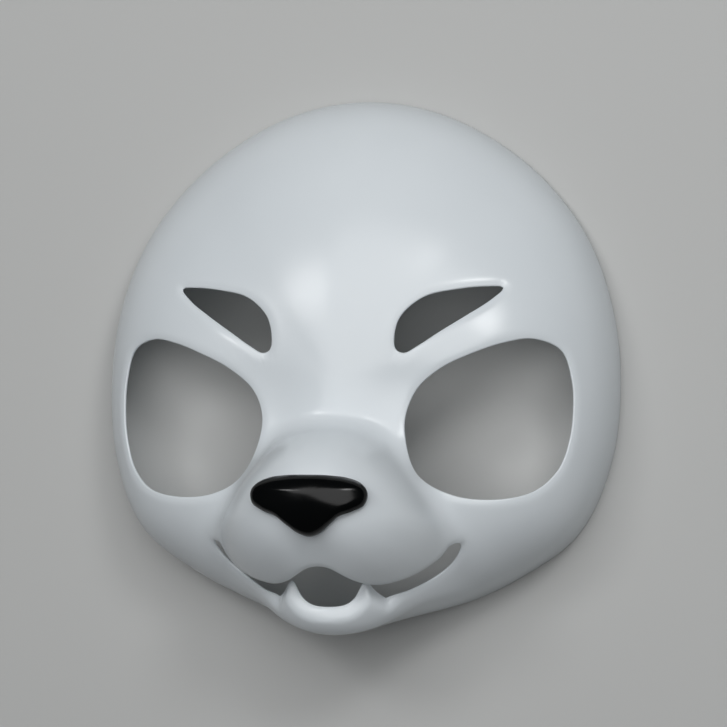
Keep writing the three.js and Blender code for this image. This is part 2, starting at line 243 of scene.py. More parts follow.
probe = skin_in_front(upper_field, np.array([[0.0, 60.0], [0.0, -60.0]]))
print("skin at the forehead and the muzzle:", probe.round(1).tolist())

# %% [markdown]
# Every opening has an outline with a few chosen places, as shares of the box that it fills. A
# smooth curve runs through them, and the points along it are evenly spaced, because uneven
# points would show as dents in a glossy edge.

# %% Outlines in the front view
OUTLINE_SPACING = 1.3
EYE_SHARES = [
    (0.56, 1), (0.22, 0.945), (-0.2, 0.79), (-0.58, 0.6), (-0.88, 0.34), (-1.01, 0),
    (-0.965, -0.36), (-0.78, -0.72), (-0.42, -0.95), (0.1, -1.01), (0.58, -0.9), (0.86, -0.63),
    (0.99, -0.26), (1.03, 0.1), (1.01, 0.5), (0.88, 0.87),
]
BROW_SHARES = [
    (0.98, 0.96), (0.62, 0.98), (0.1, 0.88), (-0.4, 0.7), (-0.72, 0.38), (-0.92, 0), (-1, -0.5),
    (-0.97, -0.88), (-0.82, -0.98), (-0.55, -0.76), (-0.15, -0.35), (0.35, 0.15), (0.75, 0.58),
]


def even_curve(places, spacing, closed):
    """Evenly spaced points along a smooth curve through the places."""
    pts = np.array(places, float)
    if closed:
        pts = np.vstack([pts[-1:], pts, pts[:2]])
    else:
        pts = np.vstack([2 * pts[0] - pts[1], pts, 2 * pts[-1] - pts[-2]])
    t = np.linspace(0, 1, 32, endpoint=False)[:, None]
    dense = []
    for p0, p1, p2, p3 in zip(pts, pts[1:], pts[2:], pts[3:]):
        d0, d1, d2 = (np.linalg.norm(b - a) ** 0.5 for a, b in ((p0, p1), (p1, p2), (p2, p3)))
        leave = ((p1 - p0) / d0 - (p2 - p0) / (d0 + d1) + (p2 - p1) / d1) * d1
        arrive = ((p2 - p1) / d1 - (p3 - p1) / (d1 + d2) + (p3 - p2) / d2) * d1
        bend = 3 * (p2 - p1) - 2 * leave - arrive
        twist = 2 * (p1 - p2) + leave + arrive
        dense.append(p1 + leave * t + bend * t**2 + twist * t**3)
    dense.append(pts[-2][None] if not closed else pts[1][None])
    dense = np.vstack(dense)
    run = np.concatenate([[0], np.cumsum(np.linalg.norm(np.diff(dense, axis=0), axis=1))])
    count = max(int(round(run[-1] / spacing)), 2)
    stops = np.linspace(0, run[-1], count + 1)
    even = np.column_stack([np.interp(stops, run, axis) for axis in dense.T])
    return even[:-1] if closed else even


def boxed(shares, middle, size):
    """Places in the front view, from shares of a box."""
    return [(middle[0] + u * size[0] / 2, middle[1] + v * size[1] / 2) for u, v in shares]


eye_width = DOME_HALF_WIDTH - SIDE_STRIP - BRIDGE_HALF_WIDTH
eye_middle = (BRIDGE_HALF_WIDTH + eye_width / 2, eye_y)
brow_middle = (BROW_START_SHARE * BRIDGE_HALF_WIDTH + BROW_WIDTH / 2, brow_y)
eye_places = boxed(EYE_SHARES, eye_middle, (eye_width, EYE_HEIGHT))
brow_places = boxed(BROW_SHARES, brow_middle, (BROW_WIDTH, BROW_HEIGHT))
right_eye = even_curve(eye_places, OUTLINE_SPACING, True)
right_brow = even_curve(brow_places, OUTLINE_SPACING, True)
print("eye outline points:", len(right_eye), "brow outline points:", len(right_brow))

# %% [markdown]
# The mouth is one long opening. Its upper edge dips in two lobes on each side of a notch, and
# its lower edge carries a fang on each side, whose tip tucks just behind the upper lip. The two
# edges lie on different forms, and a short curve in space joins them round each corner.

# %% The mouth's outline
UPPER_LIP_SHARES = [
    (0.95, 0.06), (0.92, 0.14), (0.86, 0.28), (0.7, 0.51), (0.5, 0.65), (0.39, 0.67), (0.28, 0.625),
    (0.2, 0.55), (0.1, 0.44), (0.04, 0.405), (0, 0.4),
]
LOWER_LIP_SHARES = [
    (0.477, 0.9), (0.52, 0.84), (0.61, 0.75), (0.75, 0.6), (0.89, 0.4), (0.97, 0.22), (0.995, 0.13),
]
MIDDLE_LIP_SHARES = [(0, 1.07), (0.09, 1.06), (0.17, 1.02), (0.24, 0.92), (0.28, 0.8)]
FANG_SHARES = [(0.315, 0.67), (0.342, 0.635), (0.37, 0.67), (0.42, 0.8)]


def lip_run(shares, field):
    """A run of points along one lip, on the skin of its half."""
    places = [(u * MOUTH_HALF_WIDTH, corner_y - v * MOUTH_HEIGHT) for u, v in shares]
    xy = even_curve(places, OUTLINE_SPACING, False)
    return skin_in_front(field, xy)


lip_middle = lip_run([*MIDDLE_LIP_SHARES, *FANG_SHARES[:2]], lower_field)
lip_fang = lip_run([*FANG_SHARES[1:], LOWER_LIP_SHARES[0]], lower_field)
lip_cheek = lip_run(LOWER_LIP_SHARES, lower_field)
lip_upper = lip_run(UPPER_LIP_SHARES, upper_field)
lower_half = np.vstack([lip_middle, lip_fang[1:], lip_cheek[1:]])
print("lip points, lower and upper:", len(lower_half), len(lip_upper))

# %% [markdown]
# The skin is seen from a point inside the muzzle, the heart. Each place of the skin has one
# direction from it, and a flat map of directions that keeps angles gives an even net of
# triangles round the openings.

# %% A flat map of directions
HEART_SHARE = 0.3
heart = np.array([0, muzzle_y, HEART_SHARE * MUZZLE_DEPTH])
REACH = 2 * (DOME_HALF_WIDTH + DOME_HALF_HEIGHT)
CAST_REACH = 0.6 * REACH


def to_map(p):
    """The flat place of a point's direction from the heart."""
    direction = (p - heart) / np.linalg.norm(p - heart, axis=1)[:, None]
    return 2 * direction[:, :2] / (1 + direction[:, 2])[:, None]


def from_map(flat):
    """The direction from the heart of a flat place."""
    square = (flat**2).sum(1) / 4
    direction = np.column_stack([flat, 1 - square]) / (1 + square)[:, None]
    return direction / np.linalg.norm(direction, axis=1)[:, None]


# %% [markdown]
# The upper half of the face and the lower half part along a line midway between the two lips.
# The line is drawn on the map, so that each direction from the heart meets one half only. Past
# the corners of the mouth the halves melt into each other over a growing width.

# %% Where the halves part
MAP_SPACING, PARTING_COUNT, CORNER_ROUND = 0.03, 80, 0.4

# The line past the corners, as shares of the mouth's half width and height
LINE_START, LINE_DEPTH, LINE_RISE, LINE_BEND = 0.38, 0.67, 0.64, 2.3

# Where the halves melt, as shares of the mouth's half width and height
MELT_START, MELT_END, PARTING_WIDTH, MELT_WIDTH = 0.93, 1.2, 0.004, 0.5


def share_points(run, count):
    """Points at even shares of a run of points."""
    place = np.linspace(0, len(run) - 1, count)
    return np.column_stack([np.interp(place, np.arange(len(run)), axis) for axis in run.T])


lower_flat, upper_flat = to_map(lower_half), to_map(lip_upper)
lower_shared = share_points(lower_flat, PARTING_COUNT)
parting = (lower_shared + share_points(upper_flat[::-1], PARTING_COUNT)) / 2


def above_parting(p):
    """How far above the parting a place is, and above its line past the corners, in mm."""
    flat = to_map(p)
    across = np.abs(flat[:, 0])
    per_unit = np.linalg.norm(p - heart, axis=1) / (1 + (flat**2).sum(1) / 4)
    near = (flat[:, 1] - np.interp(across, parting[:, 0], parting[:, 1])) * per_unit
    to_corner = np.maximum(np.abs(p[:, 0]) / MOUTH_HALF_WIDTH - LINE_START, 0) / (1 - LINE_START)
    line_drop = MOUTH_HEIGHT * (LINE_DEPTH - LINE_RISE * to_corner**LINE_BEND)
    past_corner = p[:, 1] - corner_y + line_drop
    return near, past_corner


def face_field(p):
    """The whole face: the upper half above the parting and the lower half under it."""
    across = np.abs(p[:, 0]) / MOUTH_HALF_WIDTH
    beyond = ramp(across, MELT_START, MELT_END)
    near, past_corner = above_parting(p)
    level = near + (past_corner - near) * beyond
    width = MOUTH_HEIGHT * (PARTING_WIDTH + MELT_WIDTH * beyond)
    upper = ramp(level, -width, width)
    return upper * upper_field(p) + (1 - upper) * lower_field(p)


def skin_along(direction):
    """The skin in directions from the heart."""
    start = heart + direction * CAST_REACH
    return cast_inward(face_field, start, -direction, CAST_REACH)


corner_gap = upper_flat[0] - lower_flat[-1]
corner_end = (upper_flat[0] + lower_flat[-1]) / 2
corner_end = corner_end + CORNER_ROUND * np.array([corner_gap[1], -corner_gap[0]])
corner_places = [lower_flat[-3], lower_flat[-1], corner_end, upper_flat[0], upper_flat[2]]
mouth_corner = skin_along(from_map(even_curve(corner_places, MAP_SPACING, False)))
lips_apart = above_parting(lip_upper)[0].min(), above_parting(lower_half)[0].max()
print("lips from the parting, mm:", [round(float(gap), 2) for gap in lips_apart])

# %% [markdown]
# The lips round the openings are half round, so the sheet of skin stops half a lip short of
# each outline. A rim at the back closes the shell in the same way, and touches the floor.

# %% Loops where the skin stops
LIP_WALL = 1.3
RIM_POINTS = 420


def turned_in(loop, outward, closed_area):
    """Directions along the skin into an opening, for points in order round it."""
    along = np.roll(loop, -1, axis=0) - np.roll(loop, 1, axis=0)
    side = np.cross(along, outward)
    side /= np.linalg.norm(side, axis=1)[:, None]
    return side * (-1 if closed_area > 0 else 1)


def flat_area(flat):
    """The area inside a flat loop, below zero where it runs clockwise."""
    x, y = flat[:, 0], flat[:, 1]
    return 0.5 * np.sum(x * np.roll(y, -1) - np.roll(x, -1) * y)


loops = []
for name, xy in (("eye", right_eye), ("brow", right_brow)):
    for side in (1, -1):
        loop = skin_in_front(upper_field, xy * [side, 1])
        loops.append((name, loop, outward_at(upper_field, loop)))
lip_parts = [
    (lower_half[:-3], lower_field),
    (mouth_corner, face_field),
    (lip_upper[3:], upper_field),
]
right_mouth = np.vstack([part for part, _ in lip_parts])
right_outward = np.vstack([outward_at(field, part) for part, field in lip_parts])
mirror = np.array([-1, 1, 1])
mouth_loop = np.vstack([right_mouth, (right_mouth * mirror)[::-1][1:-1]])
mouth_outward = np.vstack([right_outward, (right_outward * mirror)[::-1][1:-1]])
loops.append(("mouth", mouth_loop, mouth_outward))

placed = []
for name, loop, outward in loops:
    inward = turned_in(loop, outward, flat_area(to_map(loop)))
    placed.append((name, loop - inward * LIP_WALL / 2, outward, inward))

angles = np.linspace(0, 2 * np.pi, 2 * RIM_POINTS, endpoint=False)
rim_plane = np.column_stack([np.cos(angles), np.sin(angles), np.zeros(len(angles))])
rim_start = np.array([0, muzzle_y, WALL / 2]) + rim_plane * REACH / 2
rim_skin = cast_inward(face_field, rim_start, -rim_plane, REACH / 2)
rim_closed = np.vstack([rim_skin, rim_skin[:1]])
rim_run = np.concatenate([[0], np.cumsum(np.linalg.norm(np.diff(rim_closed, axis=0), axis=1))])
rim_stops = np.linspace(0, rim_run[-1], RIM_POINTS, endpoint=False)
rim_loop = np.column_stack([np.interp(rim_stops, rim_run, rim_closed[:, k]) for k in range(3)])
rim_outward = outward_at(face_field, rim_loop) * [1, 1, 0]
rim_outward /= np.linalg.norm(rim_outward, axis=1)[:, None]
rim_inward = np.tile([0.0, 0.0, -1.0], (RIM_POINTS, 1))
placed.append(("rim", rim_loop, rim_outward, rim_inward))
print("loops:", [(name, len(loop)) for name, loop, _, _ in placed])

# %% [markdown]
# Between the loops, points follow rings round the heart, about two millimetres apart. Close to
# an opening they follow its edge instead, at growing distances, so that the edge's soft
# rounding gets enough points and the net stays even.

# %% Points of the skin
RINGS, RING_SPACING, SPOKES, SPOKE_STEPS = 120, 1.9, 240, 90
EDGE_BANDS, BAND_CLEAR_SHARE = [0.5, 1.1, 1.9, 2.9, 4.2], 0.9
BAND_GAP, RING_GAP = 0.55, 1.0


def distance_to(points, targets):
    """Each point's distance to the nearest target."""
    best = np.empty(len(points))
    for start in range(0, len(points), 2000):
        part = points[start : start + 2000]
        gaps = (part[:, None, :] - targets[None, :, :]).astype(np.float32)
        best[start : start + 2000] = np.sqrt((gaps**2).sum(2).min(1))
    return best


def ring_points():
    """Flat places on rings round the heart, evenly spaced on the skin."""
    rim_flat = to_map(rim_loop)
    rim_angle = np.arctan2(rim_flat[:, 1], rim_flat[:, 0])
    order = np.argsort(rim_angle)
    spokes = np.linspace(-np.pi, np.pi, SPOKES, endpoint=False)
    tilt = 2 * np.arctan(np.linalg.norm(rim_flat, axis=1) / 2)
    rim_tilt = np.interp(spokes, rim_angle[order], tilt[order], period=2 * np.pi)
    shares = np.linspace(0, 1, SPOKE_STEPS)
    lean = rim_tilt[:, None] * shares[None, :]
    flat = 2 * np.tan(lean / 2)
    grid = np.stack([flat * np.cos(spokes)[:, None], flat * np.sin(spokes)[:, None]], -1)
    skin = skin_along(from_map(grid.reshape(-1, 2))).reshape(SPOKES, SPOKE_STEPS, 3)
    step = np.linalg.norm(np.diff(skin, axis=1), axis=2)
    run = np.concatenate([np.zeros((SPOKES, 1)), np.cumsum(step, axis=1)], axis=1)
    rings = [np.zeros((1, 2))]
    for ring in range(1, RINGS):
        lean_here = np.array(
            [np.interp(run[k, -1] * ring / RINGS, run[k], lean[k]) for k in range(SPOKES)]
        )
        radius = 2 * np.tan(lean_here / 2)
        flat_ring = np.column_stack([radius * np.cos(spokes), radius * np.sin(spokes)])
        on_skin = skin_along(from_map(flat_ring))
        closed_skin = np.vstack([on_skin, on_skin[:1]])
        around = np.linalg.norm(np.diff(closed_skin, axis=0), axis=1)
        along = np.concatenate([[0], np.cumsum(around)])
        count = max(int(along[-1] / RING_SPACING), 6)
        stops = (np.arange(count) + 0.5 * (ring % 2)) * along[-1] / count
        closed_flat = np.vstack([flat_ring, flat_ring[:1]])
        rings.append(np.column_stack([np.interp(stops, along, closed_flat[:, k]) for k in (0, 1)]))
    return np.vstack(rings)


edges_3d = np.vstack([loop for _, loop, _, _ in placed])
hole_loops = [(loop, inward) for name, loop, _, inward in placed if name != "rim"]
band_flat = []
for distance in EDGE_BANDS:
    for loop, inward in hole_loops:
        flat = to_map(loop - inward * distance)
        on_skin = skin_along(from_map(flat))
        clear = distance_to(on_skin, edges_3d) > BAND_CLEAR_SHARE * distance
        band_flat.append(flat[clear])
band_flat = np.vstack(band_flat)
inner_flat = ring_points()
print("points near the edges:", len(band_flat), "points between them:", len(inner_flat))

# %% [markdown]
# Blender's own constrained Delaunay routine joins the points into triangles that keep every
# loop's edges. A triangle whose middle falls in an opening or outside the rim is dropped.

# %% Joining the points


def inside_loop(points, loop):
    """Whether each flat point lies inside a flat closed loop."""
    x, y = points[:, 0][:, None], points[:, 1][:, None]
    x0, y0 = loop[:, 0][None], loop[:, 1][None]
    x1, y1 = np.roll(loop[:, 0], -1)[None], np.roll(loop[:, 1], -1)[None]
    with np.errstate(divide="ignore", invalid="ignore"):
        crosses = (y0 > y) != (y1 > y)
        left = x < x0 + (y - y0) * (x1 - x0) / (y1 - y0)
    return (crosses & left).sum(1) % 2 == 1


def keep_spread(points, others, gap):
    """The points that keep a gap to the others on the skin."""
    return points[distance_to(skin_along(from_map(points)), others) > gap]


def thinned(flat, gap):
    """Leaves out points that crowd an earlier one."""
    skin = skin_along(from_map(flat))
    cells, kept = {}, []
    for index, (place, cell) in enumerate(zip(skin, (skin // gap).astype(int))):
        near = []
        for dx in (-1, 0, 1):
            for dy in (-1, 0, 1):
                for dz in (-1, 0, 1):
                    near += cells.get((cell[0] + dx, cell[1] + dy, cell[2] + dz), [])
        if all(((place - other) ** 2).sum() > gap * gap for other in near):
            cells.setdefault(tuple(cell), []).append(place)
            kept.append(index)
    return flat[kept], skin[kept]


loop_flats = [to_map(loop) for _, loop, _, _ in placed]
band_flat, band_skin = thinned(band_flat, BAND_GAP)
inner_flat = keep_spread(inner_flat, np.vstack([edges_3d, band_skin]), RING_GAP)


def in_the_open(flat):
    """Whether flat points lie on the kept part of the skin."""
    kept = inside_loop(flat, loop_flats[-1])
    for loop in loop_flats[:-1]:
        kept &= ~inside_loop(flat, loop)
    return kept


loop_count = sum(len(flat) for flat in loop_flats)
free_flat = np.vstack([band_flat, inner_flat])
free_flat = free_flat[in_the_open(free_flat)]
all_flat = np.vstack([*loop_flats, free_flat])
constraints, first = [], 0
for flat in loop_flats:
    count = len(flat)
    constraints += [(first + k, first + (k + 1) % count) for k in range(count)]
    first += count
cdt = geometry.delaunay_2d_cdt([Vector(p) for p in all_flat], constraints, [], 0, 1e-7)
flat_out = np.array([tuple(p) for p in cdt[0]])
triangles = np.array([tuple(face) for face in cdt[2]])
triangles = triangles[in_the_open(flat_out[triangles].mean(1))]
source = np.array([origin[0] if origin else -1 for origin in cdt[3]])
print("skin points:", len(flat_out), "triangles:", len(triangles), "added:", (source < 0).sum())

# %% [markdown]
# Near an opening the wall gets thinner and its outside rolls over softly, as moulded plastic
# does where it has been trimmed and buffed. The lower lip between the fangs rolls in much
# further, which gives it the bright band along its top. Each point keeps its wall, its outward
# direction and, on an edge, the direction into the opening, because the wall is built from them.

# %% Places, wall and directions
TAPER_WIDTH = 9.0
ROLL_WIDTH, ROLL_DEPTH, ROLL_BEND = 3.2, 0.55, 2
LIP_ROLL_WIDTH, LIP_ROLL_DEPTH, LIP_ROLL_BEND = 5.2, 3.6, 1.45
LIP_ROLL_START, LIP_ROLL_END = 0.42, 0.62

skin = skin_along(from_map(flat_out))
outward = outward_at(face_field, skin)
inward = np.zeros_like(skin)
hole_edges = np.vstack([loop for loop, _ in hole_loops])
edge_out = np.vstack([o for _, _, o, _ in placed])
edge_in = np.vstack([i for _, _, _, i in placed])
on_edge = (source >= 0) & (source < loop_count)
skin[on_edge] = edges_3d[source[on_edge]]
outward[on_edge] = edge_out[source[on_edge]]
inward[on_edge] = edge_in[source[on_edge]]
to_edge = distance_to(skin, hole_edges)
wall = LIP_WALL + (WALL - LIP_WALL) * ramp(to_edge, 0, TAPER_WIDTH)
in_middle = 1 - ramp(np.abs(skin[:, 0]) / MOUTH_HALF_WIDTH, LIP_ROLL_START, LIP_ROLL_END)
on_lip = in_middle * (above_parting(skin)[0] < 0)
roll_width = ROLL_WIDTH + (LIP_ROLL_WIDTH - ROLL_WIDTH) * on_lip
roll_depth = ROLL_DEPTH + (LIP_ROLL_DEPTH - ROLL_DEPTH) * on_lip
roll_bend = ROLL_BEND + (LIP_ROLL_BEND - ROLL_BEND) * on_lip
roll = roll_depth * np.clip(1 - to_edge / roll_width, 0, 1) ** roll_bend
skin = skin - outward * roll[:, None]
print("wall from", wall.min().round(2), "to", wall.max().round(2), "mm")

# %% The outer skin as a mesh
used, compact = np.unique(triangles, return_inverse=True)
triangles = compact.reshape(triangles.shape)
skin, outward, inward, wall = skin[used], outward[used], inward[used], wall[used]
a, b, c = (skin[triangles[:, k]] for k in range(3))
faces_out = (np.cross(b - a, c - a) * outward[triangles[:, 0]]).sum(1) > 0
triangles[~faces_out] = triangles[~faces_out][:, ::-1]
skin_mesh = bpy.data.meshes.new("mask_shell")
skin_mesh.from_pydata((skin * MM).tolist(), [], triangles.tolist())
for name, values in (("outward", outward), ("inward", inward)):
    attribute = skin_mesh.attributes.new(name, "FLOAT_VECTOR", "POINT")
    attribute.data.foreach_set("vector", values.astype(np.float32).ravel())
attribute = skin_mesh.attributes.new("wall", "FLOAT", "POINT")
attribute.data.foreach_set("value", (wall * MM).astype(np.float32))
shell = bpy.data.objects.new("mask_shell", skin_mesh)
bpy.context.scene.collection.objects.link(shell)
print("outer skin:", len(skin_mesh.vertices), "points", len(skin_mesh.polygons), "triangles")

# %% [markdown]
# The wall follows the skin, and the lips follow the edges of the openings, so Geometry Nodes
# make both. The tree moves a copy of the skin inwards for the inside of the mask. Then it
# extrudes every open edge in a few steps round a half circle, from the outer skin to the
# inner one, and welds the two. Solidify would leave square edges, and a bevel on them tears
# at the fangs' tips.

# %% A helper for nodes


def add_node(tree, kind, inputs=(), **settings):
    """Adds a node, with its settings and what its inputs hold or are linked to."""
    node = tree.nodes.new(kind)
    for key, value in settings.items():
        setattr(node, key, value)
    for key, value in dict(inputs).items():
        if isinstance(value, bpy.types.NodeSocket):
            tree.links.new(value, node.inputs[key])
        else:
            node.inputs[key].default_value = value
    return node


def named(tree, name, data_type="FLOAT_VECTOR"):
    """The values that the mesh keeps under a name."""
    kind = "GeometryNodeInputNamedAttribute"
    return add_node(tree, kind, {"Name": name}, data_type=data_type).outputs["Attribute"]


# %% The wall and lips tree
tree = bpy.data.node_groups.new("wall_and_lips", "GeometryNodeTree")
new_socket = tree.interface.new_socket
new_socket("Skin", in_out="INPUT", socket_type="NodeSocketGeometry")
steps_input = new_socket("Lip Steps", in_out="INPUT", socket_type="NodeSocketInt")
plastic_input = new_socket("Plastic", in_out="INPUT", socket_type="NodeSocketMaterial")
new_socket("Shell", in_out="OUTPUT", socket_type="NodeSocketGeometry")
source_node = add_node(tree, "NodeGroupInput")
out_dir, in_dir = named(tree, "outward"), named(tree, "inward")
wall_value = named(tree, "wall", "FLOAT")
half_wall = add_node(tree, "ShaderNodeMath", {0: wall_value, 1: 0.5}, operation="MULTIPLY")
minus_wall = add_node(tree, "ShaderNodeMath", {0: wall_value, 1: -1.0}, operation="MULTIPLY")

to_inside = add_node(
    tree,
    "ShaderNodeVectorMath",
    {0: out_dir, "Scale": minus_wall.outputs[0]},
    operation="SCALE",
)
inside = add_node(
    tree,
    "GeometryNodeSetPosition",
    {"Geometry": source_node.outputs["Skin"], "Offset": to_inside.outputs[0]},
)
inside = add_node(tree, "GeometryNodeFlipFaces", {"Mesh": inside.outputs[0]})

to_middle = add_node(
    tree,
    "ShaderNodeVectorMath",
    {0: to_inside.outputs[0], "Scale": 0.5},
    operation="SCALE",
)
position = add_node(tree, "GeometryNodeInputPosition")
middle = add_node(
    tree,
    "ShaderNodeVectorMath",
    {0: position.outputs[0], 1: to_middle.outputs[0]},
    operation="ADD",
)
kept = add_node(
    tree,
    "GeometryNodeStoreNamedAttribute",
    {"Geometry": source_node.outputs["Skin"], "Name": "middle", "Value": middle.outputs[0]},
    data_type="FLOAT_VECTOR",
    domain="POINT",
)
neighbours = add_node(tree, "GeometryNodeInputMeshEdgeNeighbors")
is_open = add_node(
    tree,
    "FunctionNodeCompare",
    {2: neighbours.outputs["Face Count"], 3: 1},
    data_type="INT",
    operation="EQUAL",
)

zone_in = add_node(tree, "GeometryNodeRepeatInput")
zone_out = add_node(tree, "GeometryNodeRepeatOutput")
zone_in.pair_with_output(zone_out)
zone_out.repeat_items.new("BOOLEAN", "Edge")
tree.links.new(source_node.outputs["Lip Steps"], zone_in.inputs["Iterations"])
tree.links.new(kept.outputs["Geometry"], zone_in.inputs["Geometry"])
tree.links.new(is_open.outputs[0], zone_in.inputs["Edge"])

extrude = add_node(
    tree,
    "GeometryNodeExtrudeMesh",
    {
        "Mesh": zone_in.outputs["Geometry"],
        "Selection": zone_in.outputs["Edge"],
        "Offset Scale": 0.0,
    },
    mode="EDGES",
)
step = add_node(
    tree,
    "ShaderNodeMath",
    {0: zone_in.outputs["Iteration"], 1: 1.0},
    operation="ADD",
)
share = add_node(
    tree,
    "ShaderNodeMath",
    {0: step.outputs[0], 1: source_node.outputs["Lip Steps"]},
    operation="DIVIDE",
)
angle = add_node(tree, "ShaderNodeMath", {0: share.outputs[0], 1: np.pi}, operation="MULTIPLY")
across = add_node(tree, "ShaderNodeMath", {0: angle.outputs[0]}, operation="COSINE")
round_in = add_node(tree, "ShaderNodeMath", {0: angle.outputs[0]}, operation="SINE")
out_part = add_node(
    tree,
    "ShaderNodeVectorMath",
    {0: out_dir, "Scale": across.outputs[0]},
    operation="SCALE",
)
in_part = add_node(
    tree,
    "ShaderNodeVectorMath",
    {0: in_dir, "Scale": round_in.outputs[0]},
    operation="SCALE",
)
round_way = add_node(
    tree,
    "ShaderNodeVectorMath",
    {0: out_part.outputs[0], 1: in_part.outputs[0]},
    operation="ADD",
)
arm = add_node(
    tree,
    "ShaderNodeVectorMath",
    {0: round_way.outputs[0], "Scale": half_wall.outputs[0]},
    operation="SCALE",
)
lip_place = add_node(
    tree,
    "ShaderNodeVectorMath",
    {0: named(tree, "middle"), 1: arm.outputs[0]},
    operation="ADD",
)
placed_lip = add_node(
    tree,
    "GeometryNodeSetPosition",
    {
        "Geometry": extrude.outputs["Mesh"],
        "Selection": extrude.outputs["Top"],
        "Position": lip_place.outputs[0],
    },
)
tree.links.new(placed_lip.outputs[0], zone_out.inputs["Geometry"])
tree.links.new(extrude.outputs["Top"], zone_out.inputs["Edge"])

joined = add_node(tree, "GeometryNodeJoinGeometry")
tree.links.new(inside.outputs[0], joined.inputs[0])
tree.links.new(zone_out.outputs["Geometry"], joined.inputs[0])
welded = add_node(
    tree,
    "GeometryNodeMergeByDistance",
    {"Geometry": joined.outputs[0], "Distance": 0.01 * MM},
)
smooth = add_node(tree, "GeometryNodeSetShadeSmooth", {"Geometry": welded.outputs[0]})
real = add_node(tree, "GeometryNodeRealizeInstances", {"Geometry": smooth.outputs[0]})
finished = add_node(
    tree,
    "GeometryNodeSetMaterial",
    {"Geometry": real.outputs[0], "Material": source_node.outputs["Plastic"]},
)
add_node(tree, "NodeGroupOutput", {0: finished.outputs[0]})
print("wall and lips tree:", len(tree.nodes), "nodes")

# %% [markdown]
# A rigid mask is usually moulded in ABS and then buffed, and such plastic is never one flat
# colour. It is a cool white with faint cloudy changes about 70 mm across, its gloss changes a
# little from place to place, and its surface has a very slight orange peel, 6 mm from crest to
# crest, which gives the highlights a soft edge. All of it is noise on Object coordinates, in
# real sizes.

# %% The white plastic
PLASTIC_IOR = 1.5


def linear(hex_colour):
    """An sRGB hex colour as linear values with full alpha."""
    channels = [int(hex_colour[k : k + 2], 16) / 255 for k in (1, 3, 5)]
    return [c / 12.92 if c <= 0.04045 else ((c + 0.055) / 1.055) ** 2.4 for c in channels] + [1.0]


def plastic(name, light, dark, roughness, cloud_mm, peel_mm, peel_height_mm, specular):
    """A glossy plastic with cloudy colour, uneven gloss and a slight orange peel."""
    material = bpy.data.materials.new(name)
    material.use_nodes = True
    nodes = material.node_tree
    shader = nodes.nodes["Principled BSDF"]
    place = add_node(nodes, "ShaderNodeTexCoord").outputs["Object"]
    cloud = add_node(
        nodes, "ShaderNodeTexNoise", {"Vector": place, "Scale": 1000 / cloud_mm, "Detail": 3.0}
    )
    colour = add_node(nodes, "ShaderNodeMix", {0: cloud.outputs["Fac"]}, data_type="RGBA")
    colour.inputs[6].default_value = linear(dark)
    colour.inputs[7].default_value = linear(light)
    nodes.links.new(colour.outputs[2], shader.inputs["Base Color"])
    rubbed = add_node(
        nodes, "ShaderNodeTexNoise", {"Vector": place, "Scale": 2500 / cloud_mm, "Detail": 4.0}
    )
    gloss = add_node(
        nodes,
        "ShaderNodeMapRange",
        {"Value": rubbed.outputs["Fac"], "To Min": roughness[0], "To Max": roughness[1]},
    )
    nodes.links.new(gloss.outputs[0], shader.inputs["Roughness"])
    peel = add_node(
        nodes, "ShaderNodeTexNoise", {"Vector": place, "Scale": 1000 / peel_mm, "Detail": 2.0}
    )
    bump = add_node(
        nodes,
        "ShaderNodeBump",
        {"Height": peel.outputs["Fac"], "Strength": 0.5, "Distance": peel_height_mm * MM},
    )
    nodes.links.new(bump.outputs[0], shader.inputs["Normal"])
    shader.inputs["IOR"].default_value = PLASTIC_IOR
    shader.inputs["Specular IOR Level"].default_value = specular
    return material


white = plastic(
    "gloss_white_plastic",
    light="#E4EAEE",
    dark="#DAE1E6",
    roughness=(0.2, 0.3),
    cloud_mm=70,
    peel_mm=6,
    peel_height_mm=0.05,
    specular=0.5,
)
print("material:", white.name)

# %% The finished shell
LIP_STEPS = 6

modifier = shell.modifiers.new("wall_and_lips", "NODES")
modifier.node_group = tree
modifier[steps_input.identifier] = LIP_STEPS
modifier[plastic_input.identifier] = white
evaluated = shell.evaluated_get(bpy.context.evaluated_depsgraph_get())
shell_mesh = bpy.data.meshes.new_from_object(evaluated)
shell.modifiers.clear()
shell.data = shell_mesh
bpy.data.meshes.remove(skin_mesh)
shell_mesh.name = "mask_shell"
for name in ("outward", "inward", "wall", "middle"):
    shell_mesh.attributes.remove(shell_mesh.attributes[name])
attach(shell, "root")
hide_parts("face_shell")

audit = bmesh.new()
audit.from_mesh(shell_mesh)
open_edges = sum(not edge.is_manifold for edge in audit.edges)
print("shell:", len(shell_mesh.vertices), "points,", len(shell_mesh.polygons), "faces,")
print("open edges", open_edges, "volume cm3", round(audit.calc_volume(signed=True) * 1e6, 1))
audit.free()

# %% [markdown]
# The nose pad is a separate piece with a bend across it: above the bend it leans back towards
# the bridge, and below it runs down to a point. It is made as rings round the middle of the
# bend, each set on the skin and then raised by the pad's own thickness there.

# %% The nose pad
NOSE_SHARES = [
    (0, 0), (0.35, 0.01), (0.65, 0.06), (0.88, 0.17), (1, 0.36), (0.97, 0.53), (0.8, 0.62),
    (0.58, 0.7), (0.42, 0.83), (0.22, 0.985), (0, 1.05),
]
GLUE_GAP = 0.3
BEND_SHARE, TOP_LEAN, TIP_LEAN, LEAN_BEND = 0.3, 0.5, 0.45, 1.3
EDGE_ROUND, EDGE_SHARE = 3.6, 0.12
NOSE_SPACING, NOSE_MIDDLE_SHARE = 0.8, 0.4
NOSE_RINGS, RING_CROWDING = 26, 1.4

nose_half = [(u * NOSE_WIDTH / 2, nose_top_y - v * NOSE_HEIGHT) for u, v in NOSE_SHARES]
nose_places = nose_half + [(-x, y) for x, y in nose_half[-2:0:-1]]
nose_outline = even_curve(nose_places, NOSE_SPACING, True)
nose_middle = np.array([0, nose_top_y - NOSE_MIDDLE_SHARE * NOSE_HEIGHT])


